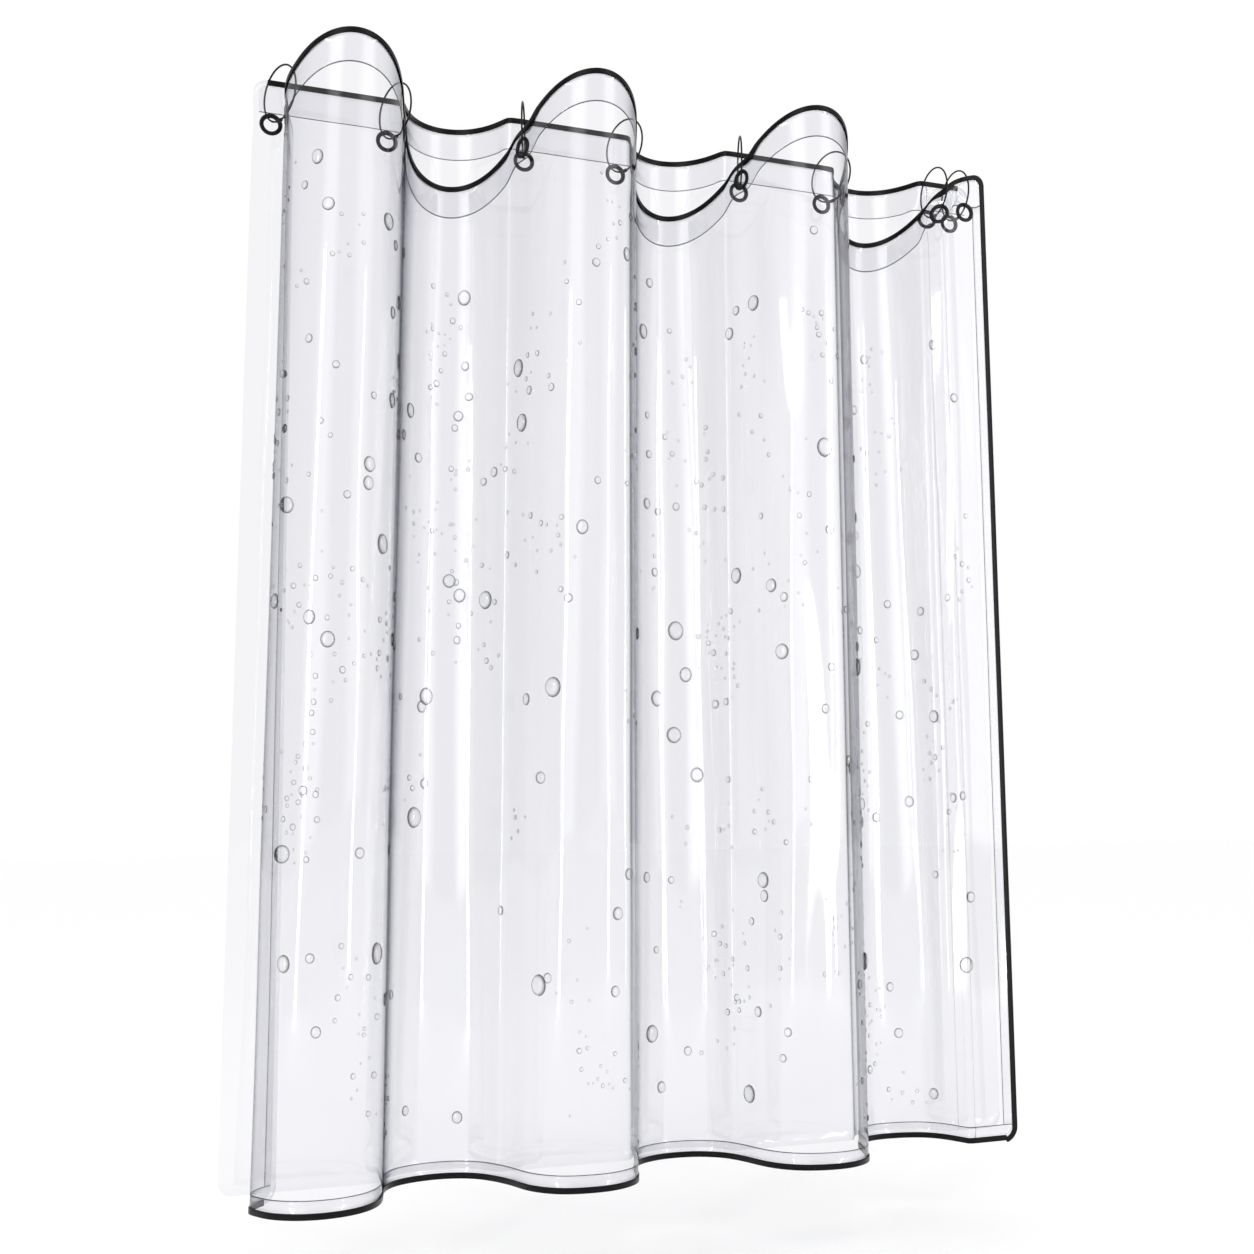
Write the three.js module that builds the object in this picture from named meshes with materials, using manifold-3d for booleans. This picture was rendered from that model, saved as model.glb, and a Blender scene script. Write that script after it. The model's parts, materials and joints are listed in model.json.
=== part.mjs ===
// Clear two-layer shower curtain, hung in soft folds from split rings.
//
// Millimetres, +Z up. The curtain rod's axis is the X axis, the middle of the curtain is near x = 0
// and the room side is -Y. The rod isn't part of the curtain. An outer panel hangs in deep folds on
// the room side, and a flatter inner panel hangs behind it from the same rings.
//
// Each panel is worked out as a flat sheet first, with u along its width, v down from its top edge
// and w out of its room-side face. A drape then bends that sheet into its folds.

import * as THREE from 'three';
import { mergeVertices } from 'three/addons/utils/BufferGeometryUtils.js';
import Module from 'manifold-3d';

const wasm = await Module();
wasm.setup();

// ---- Driving dimensions ------------------------------------------------------------------------

const rodDiameter = 25;
const curtainDrop = 1800; // from the rod's axis to the outer panel's bottom edge
const filmThickness = 0.5;
const runningGap = 0.3; // between pieces that touch

// Folds. Phase counts whole folds from the first forward crest.
const topPitch = 415; // crest to crest along the rod, at the top edge
const bottomPitch = 422;
const firstCrestTop = -550; // x of the first crest
const firstCrestBottom = -576;
const startPhase = -0.314; // the outer panel's free end
const endPhase = 2.985; // its other end
const lastFlank = 2.75; // past this phase both panels run flat along the rod

// Outer panel
const foldDepthTop = 120; // half the depth of a fold
const foldDepthBottom = 98;
const flankTop = 15; // how much the flanks are steepened
const flankBottom = 20;
const foldMiddle = 25; // the folds' middle plane, in front of the rod's axis
const scallopHeight = 72; // how far a crest's top edge stands above the eyelets' level
const flatForward = 0.04; // where the flat end lies, as shares of the fold's depth and scallop
const flatLift = 0.75;
const curlPhase = -0.2; // where the free end starts to turn back behind the first crest
const curlTop = 3600; // how tightly it turns
const curlBottom = 5200;

// Inner panel
const innerStart = -0.37;
const innerTop = -2.5; // its top edge, from the rod's axis
const innerShort = 12; // how much higher its bottom edge is than the outer panel's
const innerStandoff = 24; // from the rod's axis plane to where it is flat
const layerGap = 14; // from the outer panel's valleys to it
const innerSoftness = 10; // how gently it turns round those valleys

// Edges
const cornerRadius = 22;
const topHem = 56;
const sideHem = 26; // bottom and right hems of the outer panel
const freeHem = 20; // hem of its free end
const hemThickness = 0.4;
const tapeWidth = 8; // how far the edge binding reaches over the film
const tapeThickness = 1.2;

// Rings and eyelets
const ringPhases = [-0.26, 0.25, 0.75, 1.25, 1.75, 2.25, 2.75, 2.88];
const ringRadius = 47; // to the wire's middle
const ringWire = 3.2; // wire diameter
const ringCrossing = 38; // degrees between a ring and the film it passes through, at least
const wireSeat = 1.3; // clearance above the wire in an eyelet, with the barrel's flat sides
const eyeletDrop = 35; // eyelet centres below the outer panel's top edge, on its flanks
const usualHang = 6; // how far their centres hang below the wire there
const eyeletHole = 24; // inside the barrel
const eyeletWall = 1; // the barrel's wall
const eyeletFlange = 38;
const eyeletRise = 1.6; // how far the face stands out
const washerRise = 1.2;
const claspLength = 11;
const claspDiameter = 6.4;

// Fineness
const columnsPerFold = 12;
const cornerColumns = 3;
const tapeCornerSteps = 6;
const middleRows = [0.33, 0.66];
const ringSteps = 30;
const wireSides = 6; // an even number
const eyeletSides = 14;
const claspSides = 10;

// ---- Values that follow from them --------------------------------------------------------------

const TURN = 2 * Math.PI;
const crossing = THREE.MathUtils.degToRad(ringCrossing);
const filmHalf = filmThickness / 2;
const ringCentreZ = rodDiameter / 2 + runningGap + ringWire / 2 - ringRadius;
const outerTopMiddle = heightOnRing(foldMiddle) - usualHang + eyeletDrop;
const frontSeat = filmHalf + runningGap; // from the film's middle to an eyelet's face
const hemBack = filmHalf + runningGap + hemThickness;
const backSeat = hemBack + runningGap; // from the film's middle to a washer
const barrelRadius = eyeletHole / 2 + eyeletWall;
const padHalf = eyeletFlange / 2 + 2; // the film lies flat round an eyelet, this far each way
const hemStart = tapeWidth + 1; // where the hem strips begin, clear of the tape
const outerBottom = -curtainDrop;
const innerBottom = innerShort - curtainDrop;

function heightOnRing(reach) {
  // Height of a ring's wire, on its lower half, at this distance from the ring's middle.
  return ringCentreZ - Math.sqrt(ringRadius ** 2 - reach ** 2);
}

// ---- Drapes: how a flat panel hangs ------------------------------------------------------------

function forwardShare(phase, flatShare) {
  // 1 at a forward crest and -1 in a valley. Past the last flank it eases to flatShare and stays.
  if (phase <= lastFlank) return Math.cos(TURN * phase);
  return flatShare * (1 - Math.exp((-TURN * (phase - lastFlank)) / flatShare));
}

function alongRod(phase, down) {
  // x of a fold line; down is 0 at the top edge and 1 at the bottom.
  const crest = THREE.MathUtils.lerp(firstCrestTop, firstCrestBottom, down);
  const pitch = THREE.MathUtils.lerp(topPitch, bottomPitch, down);
  const flank = THREE.MathUtils.lerp(flankTop, flankBottom, down);
  const steepened = phase <= lastFlank ? flank * Math.sin(2 * TURN * phase) : 0;
  return crest + pitch * phase + steepened;
}

function outerDepthAt(phase, down) {
  const depth = THREE.MathUtils.lerp(foldDepthTop, foldDepthBottom, down);
  return -foldMiddle - depth * forwardShare(phase, flatForward);
}

function outerPlan(phase, down) {
  const curl = THREE.MathUtils.lerp(curlTop, curlBottom, down) * Math.max(0, curlPhase - phase) ** 2;
  return new THREE.Vector2(alongRod(phase, down) + curl, outerDepthAt(phase, down));
}

function innerPlan(phase, down) {
  // Flat beside the rod, and pushed back where a valley of the outer panel needs the room.
  const behindOuter = outerDepthAt(Math.max(0, phase), down) + layerGap;
  const apart = innerStandoff - behindOuter;
  const y = (innerStandoff + behindOuter + Math.hypot(apart, innerSoftness)) / 2;
  return new THREE.Vector2(alongRod(phase, down), y);
}

class Drape extends THREE.Curve {
  // As a curve it is the panel's level line at mid height, which measures the panel's flat width.
  constructor(plan, topEdge, bottom, start, end) {
    super();
    Object.assign(this, { plan, topEdge, bottom, start, end });
    this.arcLengthDivisions = 800;
    this.width = this.getLength();
  }

  getPoint(t, target = new THREE.Vector3()) {
    const place = this.plan(THREE.MathUtils.lerp(this.start, this.end, t), 0.5);
    return target.set(place.x, place.y, 0);
  }

  phaseAt(u) {
    const share = THREE.MathUtils.clamp(u / this.width, 0, 1);
    return THREE.MathUtils.lerp(this.start, this.end, this.getUtoTmapping(share));
  }

  uAt(phase) {
    let low = 0;
    let high = this.width;
    while (high - low > 1e-4) {
      const middle = (low + high) / 2;
      if (this.phaseAt(middle) < phase) low = middle;
      else high = middle;
    }
    return low;
  }

  dropAt(u) {
    return this.topEdge(this.phaseAt(u)) - this.bottom;
  }

  bend(u, v, w) {
    // The place in space of a point of the flat sheet.
    const phase = this.phaseAt(u);
    const top = this.topEdge(phase);
    const down = v / (top - this.bottom);
    const here = this.plan(phase, down);
    const slope = this.plan(phase + 1e-3, down).sub(this.plan(phase - 1e-3, down)).normalize();
    here.addScaledVector(slope, u - THREE.MathUtils.clamp(u, 0, this.width)); // past a side edge
    return new THREE.Vector3(here.x + w * slope.y, here.y - w * slope.x, top - v);
  }

  padAt(u, v) {
    // The flat patch of film round an eyelet: its middle, its level direction and its outward one.
    const left = this.bend(u - padHalf, v, 0);
    const right = this.bend(u + padHalf, v, 0);
    const middle = left.clone().add(right).divideScalar(2);
    const along = right.sub(left).setZ(0).normalize();
    return { middle, along, out: new THREE.Vector3(along.y, -along.x, 0) };
  }
}

function outerTopEdge(phase) {
  return outerTopMiddle + scallopHeight * forwardShare(phase, flatLift);
}

const outerDrape = new Drape(outerPlan, outerTopEdge, outerBottom, startPhase, endPhase);
const innerDrape = new Drape(innerPlan, () => innerTop, innerBottom, innerStart, endPhase);

// ---- Places of the rings and their eyelets -----------------------------------------------------

function turnAcross(along) {
  // The least turn on the rod that lets a ring cross film which runs along this direction.
  const filmAngle = Math.atan(along.x / along.y); // from straight back
  if (Math.abs(filmAngle) >= crossing) return 0;
  return filmAngle > 0 ? filmAngle - crossing : filmAngle + crossing;
}

function eyeletHeight(reach, along, toRear) {
  // An eyelet hangs on the ring's wire: the wire crosses its barrel on the slant, just under its top.
  const sine = Math.abs(along.x * toRear.y - along.y * toRear.x);
  const halfBarrel = (frontSeat + eyeletRise + backSeat + washerRise) / 2;
  const exit = reach + halfBarrel / sine; // where the wire leaves the barrel's higher end
  const slope = exit / Math.sqrt(ringRadius ** 2 - exit ** 2);
  const wireTop = heightOnRing(exit) + (ringWire / 2) * Math.hypot(1, slope);
  const aside = (halfBarrel * Math.sqrt(1 - sine ** 2) + ringWire / 2) / sine;
  const roof = Math.sqrt((eyeletHole / 2) ** 2 - aside ** 2);
  return wireTop + wireSeat - roof;
}

function placeRing(phase) {
  const outerU = outerDrape.uAt(phase);
  let outer = outerDrape.padAt(outerU, eyeletDrop);
  const turn = turnAcross(outer.along);
  const toRear = new THREE.Vector3(Math.sin(turn), Math.cos(turn), 0);
  const reach = -outer.middle.y / toRear.y;
  const outerV = eyeletDrop + outer.middle.z - eyeletHeight(reach, outer.along, toRear);
  outer = outerDrape.padAt(outerU, outerV);
  const centre = outer.middle.clone().addScaledVector(toRear, reach).setZ(ringCentreZ);

  let innerU = innerDrape.uAt(phase);
  let inner = innerDrape.padAt(innerU, eyeletDrop);
  for (let i = 0; i < 10; i += 1) {
    const innerReach = inner.middle.y / toRear.y;
    innerU += (centre.x + innerReach * toRear.x - inner.middle.x) / inner.along.x;
    inner = innerDrape.padAt(innerU, innerTop - eyeletHeight(innerReach, inner.along, toRear));
  }
  return { centre, toRear, outer, outerU, inner, innerU };
}

const rings = ringPhases.map(placeRing);

// ---- Solids ------------------------------------------------------------------------------------

function facingOut(geometry) {
  // Merges the corners, and turns the faces round if they point inwards.
  geometry.deleteAttribute('normal');
  geometry.deleteAttribute('uv');
  const merged = mergeVertices(geometry, 1e-4);
  const corner = (i) => new THREE.Vector3().fromBufferAttribute(merged.attributes.position, i);
  const index = merged.index.array;
  let volume = 0;
  for (let i = 0; i < index.length; i += 3) {
    const [a, b, c] = [corner(index[i]), corner(index[i + 1]), corner(index[i + 2])];
    volume += a.dot(b.cross(c));
  }
  if (volume < 0) merged.setIndex(Array.from(index).reverse());
  merged.computeVertexNormals();
  return merged;
}

function toSolid(geometry) {
  const bare = facingOut(geometry);
  const vertProperties = new Float32Array(bare.attributes.position.array);
  const triVerts = new Uint32Array(bare.index.array);
  return new wasm.Manifold(new wasm.Mesh({ numProp: 3, vertProperties, triVerts }));
}

function toGeometry(solid) {
  const mesh = solid.getMesh();
  const geometry = new THREE.BufferGeometry();
  geometry.setAttribute('position', new THREE.BufferAttribute(mesh.vertProperties, 3));
  geometry.setIndex(new THREE.BufferAttribute(mesh.triVerts, 1));
  geometry.computeVertexNormals();
  return geometry;
}

function skinOver(sections, endFaces) {
  // Joins equal sections, each a ring of points, into one closed body with the given end faces. The
  // second half of each ring is split along the same diagonals as the first, so that both faces of
  // a sheet stay parallel where it is twisted.
  const sides = sections[0].length;
  const faces = [];
  for (let i = 0; i + 1 < sections.length; i += 1) {
    for (let k = 0; k < sides; k += 1) {
      const a = i * sides + k;
      const b = i * sides + ((k + 1) % sides);
      if (k < sides / 2) faces.push(a, b, b + sides, a, b + sides, a + sides);
      else faces.push(a, b, a + sides, b, b + sides, a + sides);
    }
  }
  const last = (sections.length - 1) * sides;
  for (const [a, b, c] of endFaces) faces.push(a, c, b, last + a, last + b, last + c);
  const geometry = new THREE.BufferGeometry();
  const places = sections.flat().flatMap((p) => p.toArray());
  geometry.setAttribute('position', new THREE.Float32BufferAttribute(places, 3));
  geometry.setIndex(faces);
  return geometry;
}

function sheetBody(drape, columns, levelsAt, front, back) {
  // A thin sheet over these columns, between the heights front and back above the film's middle.
  const sections = columns.map((u) => {
    const levels = levelsAt(u);
    const face = levels.map((v) => drape.bend(u, v, front));
    const rear = levels.map((v) => drape.bend(u, v, back));
    return [...face, ...rear.reverse()];
  });
  const sides = sections[0].length;
  const endFaces = [];
  for (let k = 1; k < sides / 2; k += 1) {
    endFaces.push([k - 1, k, sides - k], [k, sides - k - 1, sides - k]);
  }
  return skinOver(sections, endFaces);
}

function columnsOf(drape, eyeletPlaces) {
  // Where the film is bent: closer at the rounded corners, at the hems' edges, and never across an
  // eyelet's flat patch.
  const { width } = drape;
  const free = [];
  for (let i = 1; i <= cornerColumns; i += 1) {
    const inset = cornerRadius * (1 - Math.cos((i / cornerColumns) * (Math.PI / 2)));
    free.push(inset, width - inset);
  }
  const count = Math.round((drape.end - drape.start) * columnsPerFold);
  for (let i = 1; i < count; i += 1) {
    free.push(THREE.MathUtils.lerp(freeHem, width - sideHem, i / count));
  }
  const fixed = [0, hemStart, freeHem, width - sideHem, width - hemStart, width];
  fixed.push(...eyeletPlaces.flatMap((e) => [e - padHalf, e + padHalf]));
  const onPatch = (u) => eyeletPlaces.some((e) => Math.abs(u - e) < padHalf);
  const tooClose = (u) => fixed.some((place) => Math.abs(place - u) < 2);
  return [...fixed, ...free.filter((u) => !onPatch(u) && !tooClose(u))].sort((a, b) => a - b);
}

function between(columns, low, high) {
  return [low, ...columns.filter((u) => u > low + 1 && u < high - 1), high];
}

function edgeLevel(drape, u, inset) {
  // How far below the straight top edge the panel's rounded outline lies at this column, taken
  // this far inside the outline.
  const over = Math.max(0, cornerRadius - Math.min(u, drape.width - u));
  return cornerRadius - Math.sqrt(Math.max(0, (cornerRadius - inset) ** 2 - over ** 2));
}

function withEyeletHoles(geometry, patches) {
  let solid = toSolid(geometry);
  for (const patch of patches) {
    const radius = barrelRadius + runningGap;
    const cutter = new THREE.CylinderGeometry(radius, radius, padHalf, eyeletSides);
    solid = solid.subtract(toSolid(cutter.applyMatrix4(standingOn(patch))));
  }
  return toGeometry(solid);
}

function standingOn(patch) {
  // Turns a lathe's axis, Y, to a patch's outward direction and puts it at the patch's middle.
  const level = patch.along;
  const across = new THREE.Vector3().crossVectors(level, patch.out);
  return new THREE.Matrix4().makeBasis(level, patch.out, across).setPosition(patch.middle);
}

// ---- The pieces --------------------------------------------------------------------------------

const curtain = new THREE.Group();

function addPiece(name, geometry, material) {
  const mesh = new THREE.Mesh(geometry, material);
  mesh.name = name;
  curtain.add(mesh);
}

function panel(drape, columns, patches) {
  const levelsAt = (u) => {
    const drop = drape.dropAt(u);
    const cut = edgeLevel(drape, u, 0);
    return [cut, topHem, ...middleRows.map((row) => row * drop), drop - sideHem, drop - cut];
  };
  return withEyeletHoles(sheetBody(drape, columns, levelsAt, filmHalf, -filmHalf), patches);
}

function hemStrip(drape, columns, levelsAt) {
  return sheetBody(drape, columns, levelsAt, -filmHalf - runningGap, -hemBack);
}

function bindingSection(drape, place) {
  // A folded tape's section round the film's edge. place gives u, v and the inward direction.
  const slot = filmHalf + runningGap;
  const face = slot + tapeThickness;
  const outline = [
    [-runningGap - tapeThickness, face],
    [tapeWidth, face],
    [tapeWidth, slot],
    [-runningGap, slot],
    [-runningGap, -slot],
    [tapeWidth, -slot],
    [tapeWidth, -face],
    [-runningGap - tapeThickness, -face],
  ];
  return outline.map(([inward, w]) => {
    return drape.bend(place.u + inward * place.inU, place.v + inward * place.inV, w);
  });
}

const bindingEnds = [[0, 1, 2], [0, 2, 3], [0, 3, 4], [0, 4, 7], [4, 5, 6], [4, 6, 7]];

function cornerPlaces(middleU, middleV, fromAngle) {
  // A quarter turn round an outer corner, from fromAngle, measured from +u towards +v.
  const places = [];
  for (let i = 1; i < tapeCornerSteps; i += 1) {
    const angle = fromAngle + (i / tapeCornerSteps) * (Math.PI / 2);
    const u = middleU + cornerRadius * Math.cos(angle);
    const v = middleV + cornerRadius * Math.sin(angle);
    places.push({ u, v, inU: -Math.cos(angle), inV: -Math.sin(angle) });
  }
  return places;
}

function outerBinding(columns) {
  // One tape: along the top edge, round two corners and down the side between, and back below.
  const { width } = outerDrape;
  const run = between(columns, cornerRadius, width - cornerRadius);
  const top = run.map((u) => ({ u, v: 0, inU: 0, inV: 1 }));
  const below = run.map((u) => ({ u, v: outerDrape.dropAt(u), inU: 0, inV: -1 })).reverse();
  const sideDrop = outerDrape.dropAt(width);
  const side = [0, ...middleRows, 1].map((row) => {
    const v = THREE.MathUtils.lerp(cornerRadius, sideDrop - cornerRadius, row);
    return { u: width, v, inU: -1, inV: 0 };
  });
  const upper = cornerPlaces(width - cornerRadius, cornerRadius, -Math.PI / 2);
  const lower = cornerPlaces(width - cornerRadius, sideDrop - cornerRadius, 0);
  const places = [...top, ...upper, ...side, ...lower, ...below];
  return skinOver(places.map((place) => bindingSection(outerDrape, place)), bindingEnds);
}

function innerBinding(columns) {
  const run = between(columns, cornerRadius, innerDrape.width - cornerRadius);
  const places = run.map((u) => ({ u, v: 0, inU: 0, inV: 1 }));
  return skinOver(places.map((place) => bindingSection(innerDrape, place)), bindingEnds);
}

function eyelet(patch) {
  // A face on the room side with a barrel through the film, turned about the hole's axis.
  const hole = eyeletHole / 2;
  const flange = eyeletFlange / 2;
  const top = frontSeat + eyeletRise;
  const profile = [
    [hole, -backSeat - washerRise],
    [barrelRadius, -backSeat - washerRise],
    [barrelRadius, frontSeat],
    [flange, frontSeat],
    [flange - 1.5, top - 0.3],
    [hole + 2, top],
    [hole, top - 0.8],
    [hole, -backSeat - washerRise],
  ];
  const points = profile.map(([r, w]) => new THREE.Vector2(r, w));
  return new THREE.LatheGeometry(points, eyeletSides).applyMatrix4(standingOn(patch));
}

function washer(patch) {
  const inside = barrelRadius + runningGap;
  const outside = eyeletFlange / 2 - 1;
  const profile = [
    [inside, -backSeat],
    [inside, -backSeat - washerRise],
    [outside - 1, -backSeat - washerRise],
    [outside, -backSeat],
    [inside, -backSeat],
  ];
  const points = profile.map(([r, w]) => new THREE.Vector2(r, w));
  return new THREE.LatheGeometry(points, eyeletSides).applyMatrix4(standingOn(patch));
}

class RingWire extends THREE.Curve {
  // Round the ring from one side of its clasp, at the bottom, to the other.
  constructor(ring) {
    super();
    this.ring = ring;
    this.gap = (claspLength / 2 + runningGap) / ringRadius;
  }

  getPoint(t, target = new THREE.Vector3()) {
    const { centre, toRear } = this.ring;
    const angle = THREE.MathUtils.lerp(this.gap, TURN - this.gap, t) - Math.PI / 2;
    target.copy(centre).addScaledVector(toRear, ringRadius * Math.cos(angle));
    target.z += ringRadius * Math.sin(angle);
    return target;
  }
}

function ringWireBody(ring) {
  const section = new THREE.Shape().absarc(0, 0, ringWire / 2, 0, TURN);
  const settings = { steps: ringSteps, curveSegments: wireSides / 2, extrudePath: new RingWire(ring) };
  return new THREE.ExtrudeGeometry(section, settings);
}

function clasp(ring) {
  // A barrel over the wire's two ends. Its axis lies level, along the ring.
  const radius = claspDiameter / 2;
  const half = claspLength / 2;
  const profile = [
    [0, -half],
    [radius - 1, -half],
    [radius, 1 - half],
    [radius, half - 1],
    [radius - 1, half],
    [0, half],
  ];
  const points = profile.map(([r, y]) => new THREE.Vector2(r, y));
  const middle = ring.centre.clone();
  middle.z -= ringRadius;
  const out = ring.toRear;
  const along = new THREE.Vector3(out.y, -out.x, 0);
  const turned = standingOn({ middle, along, out });
  return new THREE.LatheGeometry(points, claspSides).applyMatrix4(turned);
}

// ---- Assembly ----------------------------------------------------------------------------------

const clear = { transparent: true, opacity: 0.3, metalness: 0 };
const film = new THREE.MeshStandardMaterial({ color: 0xe7e9ef, roughness: 0.06, ...clear });
const weldedFilm = new THREE.MeshStandardMaterial({ color: 0xdcdfe6, roughness: 0.1, ...clear });
const blackTape = new THREE.MeshStandardMaterial({ color: 0x0a0a0b, roughness: 0.3, metalness: 0 });
const blackPlastic = new THREE.MeshStandardMaterial({ color: 0x0e0e10, roughness: 0.25, metalness: 0 });
const blackSteel = new THREE.MeshStandardMaterial({ color: 0x17171a, roughness: 0.3, metalness: 0.5 });

const outerPatches = rings.map((ring) => ring.outer);
const innerPatches = rings.map((ring) => ring.inner);
const outerColumns = columnsOf(outerDrape, rings.map((ring) => ring.outerU));
const innerColumns = columnsOf(innerDrape, rings.map((ring) => ring.innerU));
const outerWidth = outerDrape.width;

function topHemStrip(drape, columns, patches) {
  const run = between(columns, hemStart, drape.width - hemStart);
  const levelsAt = (u) => [edgeLevel(drape, u, hemStart), topHem];
  return withEyeletHoles(hemStrip(drape, run, levelsAt), patches);
}

function sideHemStrip(from, to) {
  const levelsAt = (u) => {
    const end = outerDrape.dropAt(u) - sideHem - 1;
    return [topHem + 1, ...middleRows.map((row) => row * outerDrape.dropAt(u)), end];
  };
  return hemStrip(outerDrape, between(outerColumns, from, to), levelsAt);
}

function bottomHemStrip() {
  const run = between(outerColumns, hemStart, outerWidth - hemStart);
  const levelsAt = (u) => {
    const drop = outerDrape.dropAt(u);
    return [drop - sideHem, drop - edgeLevel(outerDrape, u, hemStart)];
  };
  return hemStrip(outerDrape, run, levelsAt);
}

addPiece('outer_panel', panel(outerDrape, outerColumns, outerPatches), film);
addPiece('outer_top_hem', topHemStrip(outerDrape, outerColumns, outerPatches), weldedFilm);
addPiece('outer_bottom_hem', facingOut(bottomHemStrip()), weldedFilm);
addPiece('outer_left_hem', facingOut(sideHemStrip(hemStart, freeHem)), weldedFilm);
addPiece(
  'outer_right_hem',
  facingOut(sideHemStrip(outerWidth - sideHem, outerWidth - hemStart)),
  weldedFilm,
);
addPiece('outer_edge_binding', facingOut(outerBinding(outerColumns)), blackTape);

addPiece('inner_panel', panel(innerDrape, innerColumns, innerPatches), film);
addPiece('inner_top_hem', topHemStrip(innerDrape, innerColumns, innerPatches), weldedFilm);
addPiece('inner_top_binding', facingOut(innerBinding(innerColumns)), blackTape);

rings.forEach((ring, i) => {
  const number = i + 1;
  addPiece(`outer_eyelet_${number}`, facingOut(eyelet(ring.outer)), blackPlastic);
  addPiece(`outer_washer_${number}`, facingOut(washer(ring.outer)), blackPlastic);
  addPiece(`inner_eyelet_${number}`, facingOut(eyelet(ring.inner)), blackPlastic);
  addPiece(`inner_washer_${number}`, facingOut(washer(ring.inner)), blackPlastic);
  addPiece(`ring_${number}`, facingOut(ringWireBody(ring)), blackSteel);
  addPiece(`ring_clasp_${number}`, facingOut(clasp(ring)), blackSteel);
});

export default curtain;
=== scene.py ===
"""Looks of a clear two-layer shower curtain, laid out as an add-on and run as a script."""

import json
import math
import random
from bisect import bisect_left

import bmesh
import bpy
from mathutils import Matrix, Vector


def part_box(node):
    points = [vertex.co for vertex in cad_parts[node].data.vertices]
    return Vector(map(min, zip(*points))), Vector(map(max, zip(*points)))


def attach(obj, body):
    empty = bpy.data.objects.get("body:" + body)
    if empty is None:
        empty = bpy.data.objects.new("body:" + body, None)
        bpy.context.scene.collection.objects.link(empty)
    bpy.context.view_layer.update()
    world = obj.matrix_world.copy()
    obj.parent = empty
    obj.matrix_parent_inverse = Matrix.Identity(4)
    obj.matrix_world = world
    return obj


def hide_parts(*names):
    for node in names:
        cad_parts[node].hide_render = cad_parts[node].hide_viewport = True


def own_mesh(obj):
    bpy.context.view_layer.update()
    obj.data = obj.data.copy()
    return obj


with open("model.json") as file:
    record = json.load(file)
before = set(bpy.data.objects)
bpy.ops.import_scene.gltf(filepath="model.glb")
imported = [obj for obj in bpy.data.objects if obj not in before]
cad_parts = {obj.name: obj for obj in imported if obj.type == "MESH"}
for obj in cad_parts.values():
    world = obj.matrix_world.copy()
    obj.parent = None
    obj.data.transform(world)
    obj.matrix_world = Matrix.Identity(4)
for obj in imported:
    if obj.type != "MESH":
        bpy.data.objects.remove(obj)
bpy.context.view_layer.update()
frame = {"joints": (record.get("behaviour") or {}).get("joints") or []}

bl_info = {
    "name": "Clear shower curtain",
    "version": (1, 0, 0),
    "blender": (4, 5, 0),
    "location": "3D View > Sidebar > Curtain",
    "description": "Hangs a clear two-layer curtain with black edges from its rings",
    "category": "Add Mesh",
}

RING_JOINTS = {j["child"]: j for j in frame["joints"] if j["type"] == "hinge"}
RING_COUNT = len(RING_JOINTS)
TURN = 2 * math.pi
UP = Vector((0, 0, 1))


def linear(code):
    """Turns an sRGB hex value to a linear colour."""
    shares = [int(code[i : i + 2], 16) / 255 for i in (1, 3, 5)]
    return [s / 12.92 if s <= 0.04045 else ((s + 0.055) / 1.055) ** 2.4 for s in shares]


def length(name, description, default):
    return bpy.props.FloatProperty(
        name=name, description=description, default=default, unit="LENGTH", precision=4
    )


def colour(name, description, code):
    return bpy.props.FloatVectorProperty(
        name=name,
        description=description,
        default=linear(code),
        subtype="COLOR",
        min=0,
        max=1,
    )


class CurtainSizes(bpy.types.PropertyGroup):
    """Sizes of the hung film, its edges, its eyelets and its rings."""

    drop: length("Drop", "From the rod's axis to the bottom edge", 1.8)
    film: length("Film", "Thickness of a film layer", 0.0005)
    pitch_top: length("Pitch, top", "Fold to fold at the top edge", 0.415)
    pitch_bottom: length("Pitch, bottom", "Fold to fold at the bottom edge", 0.422)
    crest_top: length("First fold, top", "Its place along the rod", -0.550)
    crest_bottom: length("First fold, bottom", "Its place along the rod", -0.576)
    depth_top: length("Depth, top", "Half the depth of a fold at the top", 0.120)
    depth_bottom: length("Depth, bottom", "Half its depth at the bottom", 0.098)
    scallop: length("Scallop", "How far a crest's top stands above the rings' level", 0.072)
    corner: length("Corner", "Radius of the sheets' corners", 0.022)
    top_hem: length("Top hem", "Width of the hems along the top", 0.056)
    side_hem: length("Side hem", "Width of the bottom and right hems", 0.026)
    free_hem: length("Free hem", "Width of the hem at the free end", 0.020)
    tape_width: length("Tape width", "How far the tape reaches over the film", 0.008)
    tape_wall: length("Tape wall", "Thickness of the tape", 0.0012)
    eyelet_hole: length("Eyelet hole", "Width inside the barrel", 0.024)
    eyelet_face: length("Eyelet face", "Width of the face", 0.038)
    ring_radius: length("Ring radius", "To the wire's middle", 0.047)
    ring_wire: length("Ring wire", "Thickness of the wire", 0.0032)
    clasp_length: length("Clasp length", "Along the wire", 0.011)
    clasp_width: length("Clasp width", "Across the barrel", 0.0064)


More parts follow.
